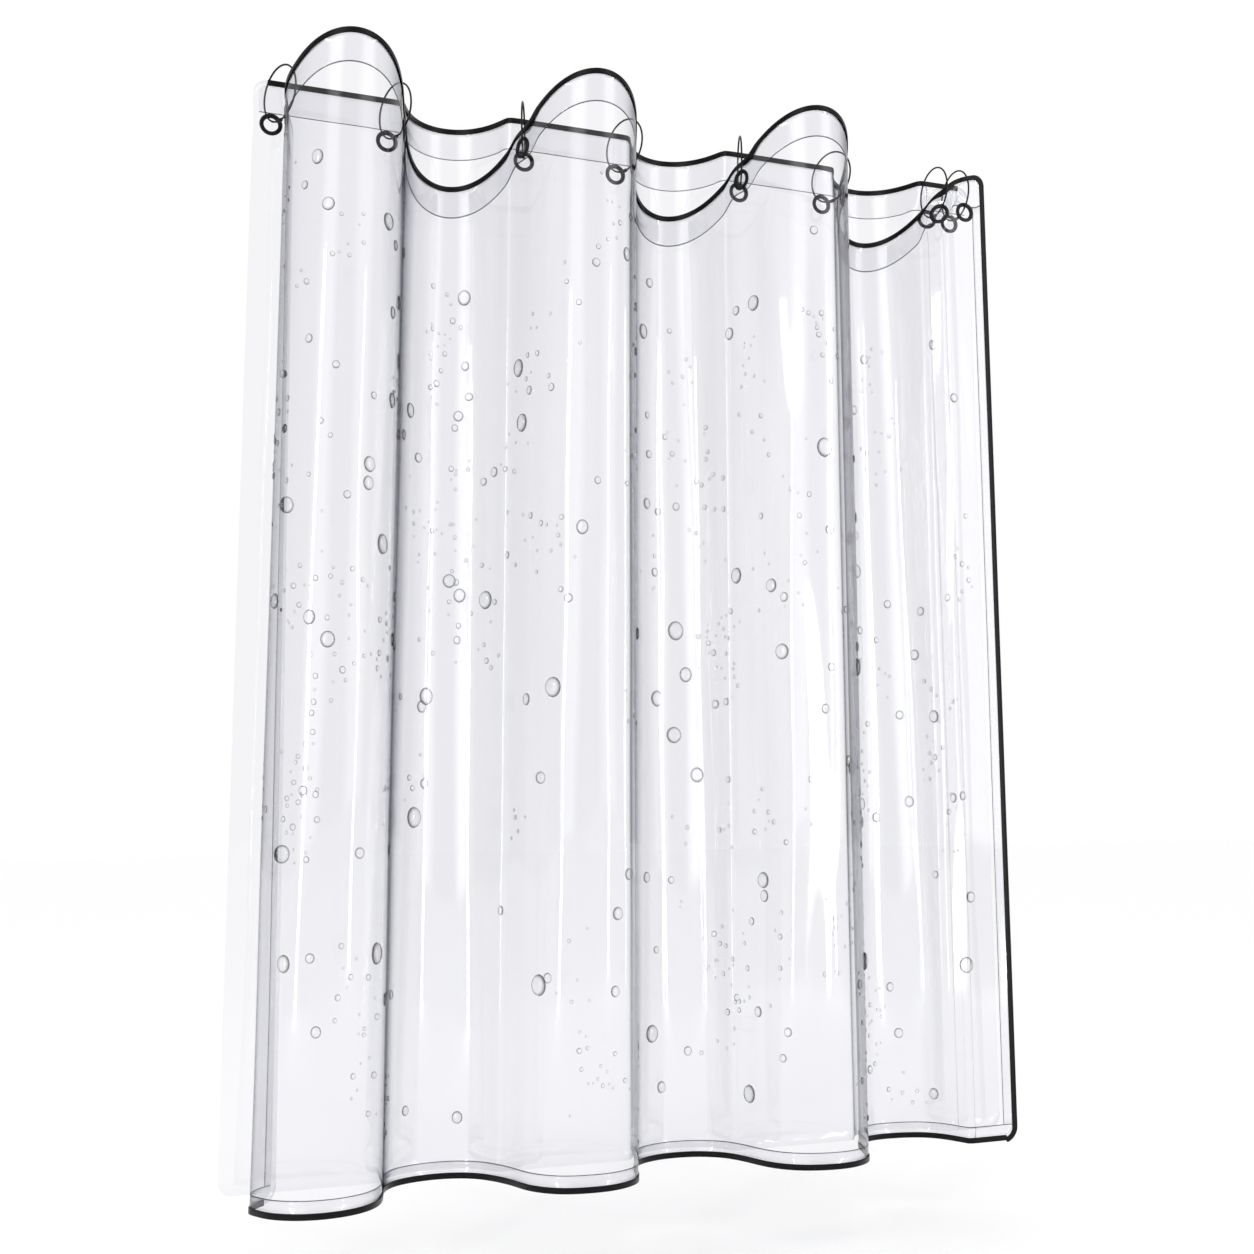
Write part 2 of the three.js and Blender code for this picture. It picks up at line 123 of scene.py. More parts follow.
class CurtainColours(bpy.types.PropertyGroup):
    """Colours of the film, the edges and the fittings."""

    film: colour("Film", "Seen straight through one face", "#FCFCFD")
    film_slant: colour("Film, slanting", "Seen at a slant through one face", "#C8C9D1")
    # Painted shade: the weld bead is clear, and these two greys stand in for the light it bends
    # away
    weld: colour("Weld", "The pressed line that closes a hem", "#A6A7B0")
    weld_slant_painted_shade: colour("Weld, slanting", "The same line, seen at a slant", "#5C5D66")
    # Painted shade: the dark tint painted at a drop's rim stands in for the light the drop bends
    # away
    drop_rim_painted_shade: colour("Drop's rim", "Where a water drop bends light away", "#33353D")
    tape: colour("Tape", "Edge binding", "#060607")
    eyelet: colour("Eyelets", "Moulded faces and washers", "#0A0A0C")
    wire: colour("Rings", "Coated wire", "#0D0D0F")
    floor: colour("Floor", "The studio's floor", "#FEFEFE")


# ---- How a flat sheet hangs --------------------------------------------------------------------

RUNNING_GAP = 0.0003  # between pieces that lie on each other
LAST_FLANK = 2.75  # phase past which both layers run flat along the rod
FLAT_FORWARD, FLAT_LIFT = 0.04, 0.75
FLANK_TOP, FLANK_BOTTOM = 0.015, 0.020
FOLD_MIDDLE = 0.025
CURL_PHASE, CURL_TOP, CURL_BOTTOM = -0.2, 3.6, 5.2
OUTER_START, INNER_START, END = -0.314, -0.37, 2.985
INNER_TOP, INNER_SHORT, INNER_STANDOFF = -0.0025, 0.012, 0.024
LAYER_GAP, INNER_SOFTNESS = 0.014, 0.010
RING_PHASES = (-0.26, 0.25, 0.75, 1.25, 1.75, 2.25, 2.75, 2.88)
EYELET_DROP, USUAL_HANG = 0.035, 0.006
PATCH_HALF, PATCH_BLEND = 0.021, 0.030  # the film is flat round an eyelet, then eases away
HEM_START = 0.009  # the hems begin here, clear of the tape
HEM_WALL = 0.0003
RIPPLE_EASE = 0.12  # the ripples grow to their full height over this depth
ROWS = 96  # from the top of a sheet to its bottom
HEM_ROWS = 8
OUTER_TAPE_STEPS, INNER_TAPE_STEPS = 350, 260
# Half width and height of the pressed lines that close the hems.
TOP_WELD, INNER_WELD = (0.0011, 0.0004), (0.0008, 0.0003)
EDGE_WELD, BOUND_WELD = (0.0007, 0.0003), (0.0006, 0.0003)


def mix(a, b, share):
    return a + (b - a) * share


def forward_share(phase, flat_share):
    """1 at a forward crest and -1 in a valley, easing to flat_share past the last flank."""
    if phase <= LAST_FLANK:
        return math.cos(TURN * phase)
    return flat_share * (1 - math.exp(-TURN * (phase - LAST_FLANK) / flat_share))


def along_rod(sizes, phase, down):
    steep = mix(FLANK_TOP, FLANK_BOTTOM, down) if phase <= LAST_FLANK else 0
    crest = mix(sizes.crest_top, sizes.crest_bottom, down)
    pitch = mix(sizes.pitch_top, sizes.pitch_bottom, down)
    return crest + pitch * phase + steep * math.sin(2 * TURN * phase)


def outer_depth(sizes, phase, down):
    depth = mix(sizes.depth_top, sizes.depth_bottom, down)
    return -FOLD_MIDDLE - depth * forward_share(phase, FLAT_FORWARD)


def outer_plan(sizes, phase, down):
    curl = mix(CURL_TOP, CURL_BOTTOM, down) * max(0, CURL_PHASE - phase) ** 2
    return along_rod(sizes, phase, down) + curl, outer_depth(sizes, phase, down)


def inner_plan(sizes, phase, down):
    behind = outer_depth(sizes, max(0, phase), down) + LAYER_GAP
    y = (INNER_STANDOFF + behind + math.hypot(INNER_STANDOFF - behind, INNER_SOFTNESS)) / 2
    return along_rod(sizes, phase, down), y


def outer_top(sizes, phase):
    ring_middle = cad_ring(1)[0].z
    level = ring_middle - math.sqrt(sizes.ring_radius**2 - FOLD_MIDDLE**2)
    return level - USUAL_HANG + EYELET_DROP + sizes.scallop * forward_share(phase, FLAT_LIFT)


def inner_top(sizes, phase):
    return INNER_TOP


def ripple(u, v):
    """Slack left in hung film: long shallow waves that run down the sheet."""
    wander = 0.05 * math.sin(1.9 * v + 5 * u)
    broad = math.sin(TURN * (u + wander) / 0.173 + 0.8 * math.sin(2.3 * v))
    narrow = math.sin(TURN * (u - wander) / 0.071 + 1.7 * math.sin(1.4 * v + 2.0))
    return 0.0009 * broad * math.sin(1.3 + 2.1 * v) + 0.00035 * narrow * math.sin(4.7 * v + 3 * u)


class Drape:
    """A flat sheet's places once it hangs. u runs across the sheet and v down from its top."""

    STEPS = 2400

    def __init__(self, sizes, plan, top, bottom, start, end):
        self.sizes, self.plan, self.top, self.bottom = sizes, plan, top, bottom
        self.start, self.end = start, end
        phases = [mix(start, end, i / self.STEPS) for i in range(self.STEPS + 1)]
        places = [Vector(plan(sizes, phase, 0.5)) for phase in phases]
        self.run = [0.0]
        for a, b in zip(places, places[1:]):
            self.run.append(self.run[-1] + (b - a).length)
        self.width = self.run[-1]
        self.patches = []

    def phase_at(self, u):
        u = min(max(u, 0), self.width)
        i = min(max(bisect_left(self.run, u), 1), self.STEPS)
        share = (u - self.run[i - 1]) / (self.run[i] - self.run[i - 1])
        return mix(self.start, self.end, (i - 1 + share) / self.STEPS)

    def u_at(self, phase):
        place = (phase - self.start) / (self.end - self.start) * self.STEPS
        i = min(int(place), self.STEPS - 1)
        return mix(self.run[i], self.run[i + 1], place - i)

    def drop_at(self, u):
        return self.top(self.sizes, self.phase_at(u)) - self.bottom

    def hang(self, u, v, w=0.0):
        phase = self.phase_at(u)
        top = self.top(self.sizes, phase)
        down = v / (top - self.bottom)
        here = Vector(self.plan(self.sizes, phase, down))
        ahead = Vector(self.plan(self.sizes, phase + 1e-3, down))
        back = Vector(self.plan(self.sizes, phase - 1e-3, down))
        slope = (ahead - back).normalized()
        here += slope * (u - min(max(u, 0), self.width))
        return Vector((here.x + w * slope.y, here.y - w * slope.x, top - v))

    def u_where(self, x, v, near):
        """How far across the sheet x is reached at a depth of v."""
        low, high = 0.0, self.width
        while high - low > near:
            u = (low + high) / 2
            low, high = (u, high) if self.hang(u, v).x < x else (low, u)
        return low

    def pad(self, u, v):
        """The flat patch round an eyelet: its middle, its level direction and its outward one."""
        left, right = self.hang(u - PATCH_HALF, v), self.hang(u + PATCH_HALF, v)
        along = (right - left) * Vector((1, 1, 0))
        along.normalize()
        return (left + right) / 2, along, Vector((along.y, -along.x, 0))

    def place(self, u, v, w=0.0):
        """Where a point of the sheet lies, w in front of it: rippled, and flat at the eyelets."""
        ease = min(1, max(0, v / RIPPLE_EASE))
        point = self.hang(u, v, w + ease * ripple(u, v))
        for eyelet_u, eyelet_v, (middle, along, out) in self.patches:
            away = math.hypot(u - eyelet_u, v - eyelet_v)
            if away < PATCH_HALF + PATCH_BLEND:
                share = min(1, (PATCH_HALF + PATCH_BLEND - away) / PATCH_BLEND)
                share = share * share * (3 - 2 * share)
                flat = middle + along * (u - eyelet_u) - UP * (v - eyelet_v) + out * w
                point = point.lerp(flat, share)
        return point


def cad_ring(k):
    """A ring's middle, the direction across the rod towards the rear, and its axis."""
    joint = RING_JOINTS[f"ring_{k}"]
    axis = Vector(joint["axis"])
    return Vector(joint["pos_m"]), Vector((-axis.y, axis.x, 0)), axis


def node_middle(name):
    low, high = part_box(name)
    return (low + high) / 2


def hang_outer(sizes):
    drape = Drape(sizes, outer_plan, outer_top, -sizes.drop, OUTER_START, END)
    for k in range(1, RING_COUNT + 1):
        u = drape.u_at(RING_PHASES[k - 1])
        v = drape.top(sizes, RING_PHASES[k - 1]) - node_middle(f"outer_eyelet_{k}").z
        drape.patches.append((u, v, drape.pad(u, v)))
    return drape


def hang_inner(sizes):
    drape = Drape(sizes, inner_plan, inner_top, INNER_SHORT - sizes.drop, INNER_START, END)
    for k in range(1, RING_COUNT + 1):
        at = node_middle(f"inner_eyelet_{k}")
        v = INNER_TOP - at.z
        u = drape.u_where(at.x, v, 1e-5)
        drape.patches.append((u, v, drape.pad(u, v)))
    return drape


# ---- Making and placing pieces -----------------------------------------------------------------


def lay_grid(across, down, place):
    """A grid with a column at each value of across and a row at each of down, moved to place."""
    made = bmesh.new()
    flat = made.loops.layers.uv.new("flat")
    columns, rows = len(across) - 1, len(down) - 1
    bmesh.ops.create_grid(made, x_segments=columns, y_segments=rows, size=0.5)
    where = {}
    for vertex in made.verts:
        a = across[round((vertex.co.x + 0.5) * columns)]
        b = down[round((0.5 - vertex.co.y) * rows)]
        where[vertex] = (a, b)
    for face in made.faces:
        for loop in face.loops:
            loop[flat].uv = where[loop.vert]
    for vertex, (a, b) in where.items():
        vertex.co = place(a, b)
    return made


def close_tube(made):
    """Joins a grid that was wrapped round on itself and fills its two ends."""
    bmesh.ops.remove_doubles(made, verts=made.verts, dist=1e-6)
    close_ends(made)


def close_ends(made):
    bmesh.ops.holes_fill(made, edges=[e for e in made.edges if e.is_boundary], sides=0)
    bmesh.ops.recalc_face_normals(made, faces=made.faces)


def join(parts):
    """One bmesh that holds all the parts."""
    whole = parts[0]
    for part in parts[1:]:
        held = bpy.data.meshes.new("part")
        part.to_mesh(held)
        part.free()
        whole.from_mesh(held)
        bpy.data.meshes.remove(held)
    return whole


def to_object(name, made, material, smooth_angle=None):
    mesh = bpy.data.meshes.new(name)
    made.to_mesh(mesh)
    made.free()
    mesh.materials.append(material)
    mesh.shade_smooth()
    if smooth_angle is not None:
        mesh.set_sharp_from_angle(angle=math.radians(smooth_angle))
    piece = bpy.data.objects.new(name, mesh)
    bpy.context.scene.collection.objects.link(piece)
    return piece


def hang_piece(name, made, material, smooth_angle=None, closed=True):
    """Cuts a piece at the last pair of rings. The main part goes on the film's body, and
    the end rides with those rings."""
    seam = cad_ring(RING_COUNT - 1)[0]
    parts = []
    for suffix, keep_left in (("", True), ("_end", False)):
        part = made.copy()
        bmesh.ops.bisect_plane(
            part,
            geom=part.verts[:] + part.edges[:] + part.faces[:],
            plane_co=(seam.x, 0, 0),
            plane_no=(1, 0, 0),
            clear_outer=keep_left,
            clear_inner=not keep_left,
        )
        if closed:
            close_ends(part)
        if not part.faces:
            part.free()
            continue
        piece = to_object(name + suffix, part, material, smooth_angle)
        if keep_left:
            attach(piece, "film")
            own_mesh(piece)
        else:
            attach(piece, "carrier_7")
        parts.append(piece)
    made.free()
    return parts


def hang_film(name, made, material, wall):
    """Hangs an open sheet and gives it its thickness."""
    parts = hang_piece(name, made, material, closed=False)
    for piece in parts:
        skin = piece.modifiers.new("film", "SOLIDIFY")
        skin.thickness = wall
        skin.offset = 0
    return parts


def corner_cut(sizes, drape, u, inset=0.0):
    """How far below the straight edge the rounded outline lies at this column."""
    over = max(0, sizes.corner - min(u, drape.width - u))
    return sizes.corner - math.sqrt(max(0, (sizes.corner - inset) ** 2 - over**2))


def columns_between(sizes, drape, low, high, spacing=0.006):
    """Even columns, closer at the rounded corners."""
    count = round((high - low) / spacing)
    values = [mix(low, high, i / count) for i in range(count + 1)]
    for i in range(1, 8):
        inset = sizes.corner * (1 - math.cos(i / 8 * math.pi / 2))
        values += [u for u in (inset, drape.width - inset) if low < u < high]
    return sorted(values)


def sheet_grid(sizes, drape):
    rows = [i / ROWS for i in range(ROWS + 1)]

    def place(u, share):
        cut = corner_cut(sizes, drape, u)
        return drape.place(u, mix(cut, drape.drop_at(u) - cut, share))

    return lay_grid(columns_between(sizes, drape, 0, drape.width), rows, place)


def strip_grid(sizes, drape, low, high, levels, behind, rows=3):
    """A band of film behind the sheet. levels gives its upper and lower edge at a column."""
    shares = [i / rows for i in range(rows + 1)]

    def place(u, share):
        upper, lower = levels(u)
        return drape.place(u, mix(upper, lower, share), -behind)

    return lay_grid(columns_between(sizes, drape, low, high), shares, place)


def bead_grid(drape, path, half_width, height):
    """A pressed line along path, which gives u and v on the sheet."""
    outline = [(-1, 0.0), (-0.75, 0.6), (-0.3, 1.0), (0.3, 1.0)]
    outline += [(0.75, 0.6), (1, 0.0), (0, -0.4), (-1, 0.0)]
    sideways = []
    for i in range(len(path)):
        before, after = path[max(i - 1, 0)], path[min(i + 1, len(path) - 1)]
        step = Vector((after[0] - before[0], after[1] - before[1])).normalized()
        sideways.append(Vector((-step.y, step.x)))
    lift = bpy.context.scene.curtain_sizes.film / 2

    def place(i, j):
        side, out = outline[j]
        at = Vector(path[i]) + sideways[i] * side * half_width
        return drape.place(at.x, at.y, lift + out * height)

    made = lay_grid(range(len(path)), range(len(outline)), place)
    close_tube(made)
    return made


def tape_grid(sizes, drape, path):
    """Tape folded over the film's edge. path gives u, v and the inward direction."""
    slot = sizes.film / 2 + RUNNING_GAP
    face = slot + sizes.tape_wall
    back = -RUNNING_GAP - sizes.tape_wall
    round_off = 0.35 * sizes.tape_wall
    outline = [
        (sizes.tape_width, slot),
        (sizes.tape_width, face - round_off),
        (sizes.tape_width - round_off, face),
        (back + sizes.tape_wall, face),
        (back + 0.3 * sizes.tape_wall, face - 0.3 * sizes.tape_wall),
        (back, slot),
        (back, -slot),
        (back + 0.3 * sizes.tape_wall, -face + 0.3 * sizes.tape_wall),
        (back + sizes.tape_wall, -face),
        (sizes.tape_width - round_off, -face),
        (sizes.tape_width, -face + round_off),
        (sizes.tape_width, -slot),
        (-RUNNING_GAP, -slot),
        (-RUNNING_GAP, slot),
        (sizes.tape_width, slot),
    ]

    def place(i, j):
        (u, v, in_u, in_v), (inward, w) = path[i], outline[j]
        return drape.place(u + inward * in_u, v + inward * in_v, w)

    made = lay_grid(range(len(path)), range(len(outline)), place)
    close_tube(made)
    return made


def corner_path(sizes, u, v, start):
    """A quarter turn round an outer corner of the sheet."""
    path = []
    for i in range(1, 14):
        angle = start + i / 14 * math.pi / 2
        c, s = math.cos(angle), math.sin(angle)
        path.append((u + sizes.corner * c, v + sizes.corner * s, -c, -s))
    return path


def spun(profile, matrix, steps, closed=True):
    """A profile of distances from the axis and along it, turned all the way round."""
    made = bmesh.new()
    points = [made.verts.new((r, 0, h)) for r, h in profile]
    edges = [made.edges.new(pair) for pair in zip(points, points[1:])]
    if closed:
        edges.append(made.edges.new((points[-1], points[0])))
    bmesh.ops.spin(
        made,
        geom=points + edges,
        cent=(0, 0, 0),
        axis=(0, 0, 1),
        angle=TURN,
        steps=steps,
        use_merge=True,
    )
    bmesh.ops.remove_doubles(made, verts=made.verts, dist=1e-6)
    bmesh.ops.recalc_face_normals(made, faces=made.faces)
    bmesh.ops.transform(made, matrix=matrix, verts=made.verts)
    return made


def standing(middle, side, upright, out):
    """Turns a piece made on Z so that its Z points out, and puts it at middle."""
    return Matrix.Translation(middle) @ Matrix((side, upright, out)).transposed().to_4x4()


def carrier_of(k):
    return "film" if k == 1 else f"carrier_{min(k, 7)}"


# ---- Materials ---------------------------------------------------------------------------------


def add_node(tree, kind, settings=None, inputs=None):
    made = tree.nodes.new(kind)
    for name, value in (settings or {}).items():
        setattr(made, name, value)
    for name, value in (inputs or {}).items():
        if isinstance(value, bpy.types.NodeSocket):
            tree.links.new(value, made.inputs[name])
        else:
            made.inputs[name].default_value = value
    return made


def new_material(name):
    made = bpy.data.materials.get(name) or bpy.data.materials.new(name)
    made.use_nodes = True
    made.node_tree.nodes.clear()
    return made, made.node_tree


def facing_of(tree, shape):
    """0 where a surface is seen straight on and 1 where it is seen edge on."""
    return add_node(
        tree, "ShaderNodeLayerWeight", inputs={"Blend": 0.5, **shape}
    ).outputs["Facing"]


def glossy_clear(tree, share, tones, facing, mirror, rise, roughness, shape):
    """Clear, with a tint that goes from the first of tones to the second as share grows. mirror is
    how much it mirrors when seen straight on, and rise how much more it does edge on."""
    tint = add_node(
        tree,
        "ShaderNodeMix",
        {"data_type": "RGBA"},
        {"Factor": share, 6: (*tones[0], 1), 7: (*tones[1], 1)},
    )
    clear = add_node(tree, "ShaderNodeBsdfTransparent", inputs={"Color": tint.outputs[2]})
    gloss = add_node(tree, "ShaderNodeBsdfGlossy", inputs={"Roughness": roughness, **shape})
    steep = add_node(tree, "ShaderNodeMath", {"operation": "POWER"}, {0: facing, 1: 5.0})
    glossy = add_node(
        tree,
        "ShaderNodeMath",
        {"operation": "MULTIPLY_ADD"},
        {0: steep.outputs[0], 1: rise, 2: mirror},
    )
    both = add_node(
        tree,
        "ShaderNodeMixShader",
        inputs={"Fac": glossy.outputs[0], 1: clear.outputs[0], 2: gloss.outputs[0]},
    )
    add_node(tree, "ShaderNodeOutputMaterial", inputs={"Surface": both.outputs[0]})


def see_through(tree, straight, slant, mirror, roughness, bump=None):
    """Lets light through, darker at a slant where the way through is longer, with a sharp gloss
    that grows at a slant as it does on any clear plastic."""
    shape = {"Normal": bump} if bump else {}
    facing = facing_of(tree, shape)
    steep = add_node(tree, "ShaderNodeMath", {"operation": "POWER"}, {0: facing, 1: 4.0})
    tones = straight, slant
    glossy_clear(tree, steep.outputs[0], tones, facing, mirror, 1 - mirror, roughness, shape)


def clear_vinyl(colours):
    """Calendered clear vinyl: glassy, with shallow flow lines down the sheet that break up the
    highlights. Lines 100 mm apart and over a metre long, with a faint 6 mm orange peel."""
    made, tree = new_material("clear vinyl, calendered")
    flat = add_node(tree, "ShaderNodeUVMap", {"uv_map": "flat"}).outputs["UV"]
    spread = add_node(tree, "ShaderNodeMapping", inputs={"Vector": flat, "Scale": (10.0, 0.7, 1.0)})
    flow = add_node(
        tree,
        "ShaderNodeTexNoise",
        inputs={"Vector": spread.outputs[0], "Scale": 1.0, "Detail": 2.5, "Roughness": 0.45},
    )
    peel = add_node(
        tree, "ShaderNodeTexNoise", inputs={"Vector": flat, "Scale": 160.0, "Detail": 1.0}
    )
    lines = add_node(
        tree,
        "ShaderNodeBump",
        inputs={"Strength": 0.5, "Distance": 0.0009, "Height": flow.outputs["Fac"]},
    )
    skin = add_node(
        tree,
        "ShaderNodeBump",
        inputs={
            "Strength": 0.05,
            "Distance": 0.0001,
            "Height": peel.outputs["Fac"],
            "Normal": lines.outputs[0],
        },
    )
    see_through(tree, colours.film, colours.film_slant, 0.04, 0.045, skin.outputs[0])
    return made


def welded_vinyl(colours):
    """Two layers pressed together by the hem's welding bar: a little less glossy, with the bar's
    faint marks, 11 mm and finer."""
    made, tree = new_material("clear vinyl, welded")
    flat = add_node(tree, "ShaderNodeUVMap", {"uv_map": "flat"}).outputs["UV"]
    marks = add_node(
        tree,
        "ShaderNodeTexNoise",
        inputs={"Vector": flat, "Scale": 90.0, "Detail": 2.0},
    )
    pressed = add_node(
        tree,
        "ShaderNodeBump",
        inputs={"Strength": 0.1, "Distance": 0.0002, "Height": marks.outputs["Fac"]},
    )
    see_through(tree, colours.film, colours.film_slant, 0.04, 0.08, pressed.outputs[0])
    return made


def weld_line(colours):
    """The pressed bead that closes a hem: clear vinyl given a painted grey shade, which stands in
    for the light the bead bends away, so it reads as a thin grey line.
    """
    made, tree = new_material("vinyl weld bead, painted shade")
    see_through(tree, colours.weld, colours.weld_slant_painted_shade, 0.05, 0.12)
    return made


def water(colours):
    """A water drop on film: clear in the middle, with painted shade at the rim that stands in for
    the light the drop bends away there, and the sharp glints of its curved top."""
    made, tree = new_material("water drop")
    dome = add_node(tree, "ShaderNodeUVMap", {"uv_map": "dome"}).outputs["UV"]
    height = add_node(tree, "ShaderNodeSeparateXYZ", inputs={"Vector": dome}).outputs["X"]
    # Painted shade: the tint darkens from the drop's top towards its rim
    rim = add_node(
        tree,
        "ShaderNodeMapRange",
        {"interpolation_type": "SMOOTHSTEP"},
        {"Value": height, "From Min": 0.0, "From Max": 0.85, "To Min": 1.0, "To Max": 0.0},
    )
    tones = (1, 1, 1), colours.drop_rim_painted_shade
    glossy_clear(tree, rim.outputs[0], tones, facing_of(tree, {}), 0.05, 0.5, 0.02, {})
    return made


def solid_black(name, base, roughness, grain, grain_height, gloss):
    """A black surface with a fine grain of its own, measured in grains to the metre. gloss is how
    strongly it mirrors."""
    made, tree = new_material(name)
    where = add_node(tree, "ShaderNodeTexCoord").outputs["Object"]
    speck = add_node(
        tree, "ShaderNodeTexNoise", inputs={"Vector": where, "Scale": grain, "Detail": 2.0}
    )
    bump = add_node(
        tree,
        "ShaderNodeBump",
        inputs={"Strength": 0.3, "Distance": grain_height, "Height": speck.outputs["Fac"]},
    )
    worn = add_node(
        tree,
        "ShaderNodeMapRange",
        inputs={
            "Value": speck.outputs["Fac"],
            "To Min": roughness - 0.05,
            "To Max": roughness + 0.08,
        },
    )
    body = add_node(
        tree,
        "ShaderNodeBsdfPrincipled",
        inputs={
            "Base Color": (*base, 1),
            "Roughness": worn.outputs[0],
            "IOR": 1.5,
            "Specular IOR Level": gloss,
            "Normal": bump.outputs[0],
        },
    )
    add_node(tree, "ShaderNodeOutputMaterial", inputs={"Surface": body.outputs[0]})
    return made


def vinyl_tape(colours):
    """Glossy black vinyl tape, folded and welded on: even and deep, with a 2 mm ripple."""
    return solid_black("black vinyl tape", colours.tape, 0.3, 500.0, 0.0001, 0.16)


def moulded_nylon(colours):
    """Injection-moulded black nylon: satin, with a faint 0.8 mm mould grain."""
    return solid_black("black nylon, moulded", colours.eyelet, 0.32, 1200.0, 0.00004, 0.2)


def coated_steel(colours):
    """Powder-coated steel wire: black, with the 1.4 mm orange peel of the coat."""
    return solid_black("black powder-coated steel", colours.wire, 0.34, 700.0, 0.00006, 0.22)


# ---- Operators ---------------------------------------------------------------------------------


def read_values(context):
    return context.scene.curtain_sizes, context.scene.curtain_colours


class OuterFilm(bpy.types.Operator):
    """Hang the outer film in its folds"""

    bl_idname = "curtain.outer_film"
    bl_label = "Outer film"

    def execute(self, context):
        sizes, colours = read_values(context)
        drape = hang_outer(sizes)
        made = sheet_grid(sizes, drape)
        pieces = hang_film("outer_film", made, clear_vinyl(colours), sizes.film)
        for piece in pieces:
            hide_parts("outer_panel")
        return {"FINISHED"}


class OuterHems(bpy.types.Operator):
    """Fold the outer film's hems and press the lines that close them"""

    bl_idname = "curtain.outer_hems"
    bl_label = "Outer hems"

    def execute(self, context):
        sizes, colours = read_values(context)
        drape = hang_outer(sizes)
        width, behind = drape.width, sizes.film / 2 + 2 * RUNNING_GAP
        right = width - sizes.side_hem

        def top(u):
            return corner_cut(sizes, drape, u, HEM_START), sizes.top_hem

        def bottom(u):
            drop = drape.drop_at(u)
            return drop - sizes.side_hem, drop - corner_cut(sizes, drape, u, HEM_START)

        def side(u):
            return sizes.top_hem + 0.001, drape.drop_at(u) - sizes.side_hem - 0.001

        strips = [
            strip_grid(sizes, drape, HEM_START, width - HEM_START, top, behind, HEM_ROWS),
            strip_grid(sizes, drape, HEM_START, width - HEM_START, bottom, behind),
            strip_grid(sizes, drape, HEM_START, sizes.free_hem, side, behind, ROWS),
            strip_grid(sizes, drape, right, width - HEM_START, side, behind, ROWS),
        ]
        hems = hang_film("outer_hem", join(strips), welded_vinyl(colours), HEM_WALL)
        across = columns_between(sizes, drape, HEM_START, width - HEM_START)

        def upright(u):
            low, high = sizes.top_hem, drape.drop_at(u) - sizes.side_hem
            return [(u, mix(low, high, i / ROWS)) for i in range(ROWS + 1)]

        low_line = [(u, drape.drop_at(u) - sizes.side_hem) for u in across]
        lines = [
            bead_grid(drape, [(u, sizes.top_hem) for u in across], *TOP_WELD),
            bead_grid(drape, low_line, *EDGE_WELD),
            bead_grid(drape, upright(right), *BOUND_WELD),
            bead_grid(drape, upright(sizes.free_hem), *EDGE_WELD),
        ]
        welds = hang_piece("outer_weld", join(lines), weld_line(colours))
        nodes = ["outer_top_hem", "outer_bottom_hem", "outer_left_hem", "outer_right_hem"]
        for piece in hems + welds:
            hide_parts(*nodes)
        return {"FINISHED"}


class OuterTape(bpy.types.Operator):
    """Bind the outer film's top, right and bottom edges"""

    bl_idname = "curtain.outer_tape"
    bl_label = "Outer tape"

    def execute(self, context):
        sizes, colours = read_values(context)
        drape = hang_outer(sizes)
        width, corner = drape.width, sizes.corner
        steps = OUTER_TAPE_STEPS
        run = [mix(corner, width - corner, i / steps) for i in range(steps + 1)]
        drop = drape.drop_at(width)
        path = [(u, 0.0, 0, 1) for u in run]
        path += corner_path(sizes, width - corner, corner, -math.pi / 2)
        path += [(width, mix(corner, drop - corner, i / ROWS), -1, 0) for i in range(ROWS + 1)]
        path += corner_path(sizes, width - corner, drop - corner, 0)
        path += [(u, drape.drop_at(u), 0, -1) for u in reversed(run)]
        made = tape_grid(sizes, drape, path)
        pieces = hang_piece("outer_tape", made, vinyl_tape(colours), smooth_angle=40)
        for piece in pieces:
            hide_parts("outer_edge_binding")
        return {"FINISHED"}


class InnerFilm(bpy.types.Operator):
    """Hang the inner film behind the outer one, with its top hem"""

    bl_idname = "curtain.inner_film"
    bl_label = "Inner film"

    def execute(self, context):
        sizes, colours = read_values(context)
        drape = hang_inner(sizes)
        made = sheet_grid(sizes, drape)
        film = hang_film("inner_film", made, clear_vinyl(colours), sizes.film)
        for piece in film:
            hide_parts("inner_panel")

        def top(u):
            return corner_cut(sizes, drape, u, HEM_START), sizes.top_hem

        low, high = HEM_START, drape.width - HEM_START
        behind = sizes.film / 2 + 2 * RUNNING_GAP
        strip = strip_grid(sizes, drape, low, high, top, behind, HEM_ROWS)
        hem = hang_film("inner_hem", strip, welded_vinyl(colours), HEM_WALL)
        across = columns_between(sizes, drape, low, high)
        line = bead_grid(drape, [(u, sizes.top_hem) for u in across], *INNER_WELD)
        weld = hang_piece("inner_weld", line, weld_line(colours))
        for piece in hem + weld:
            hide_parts("inner_top_hem")
        return {"FINISHED"}


class InnerTape(bpy.types.Operator):
    """Bind the inner film's top edge"""

    bl_idname = "curtain.inner_tape"
    bl_label = "Inner tape"

    def execute(self, context):
        sizes, colours = read_values(context)
        drape = hang_inner(sizes)
        ends = sizes.corner, drape.width - sizes.corner
        steps = INNER_TAPE_STEPS
        path = [(mix(*ends, i / steps), 0.0, 0, 1) for i in range(steps + 1)]
        made = tape_grid(sizes, drape, path)
        pieces = hang_piece("inner_tape", made, vinyl_tape(colours), smooth_angle=40)
        for piece in pieces:
            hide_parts("inner_top_binding")
        return {"FINISHED"}


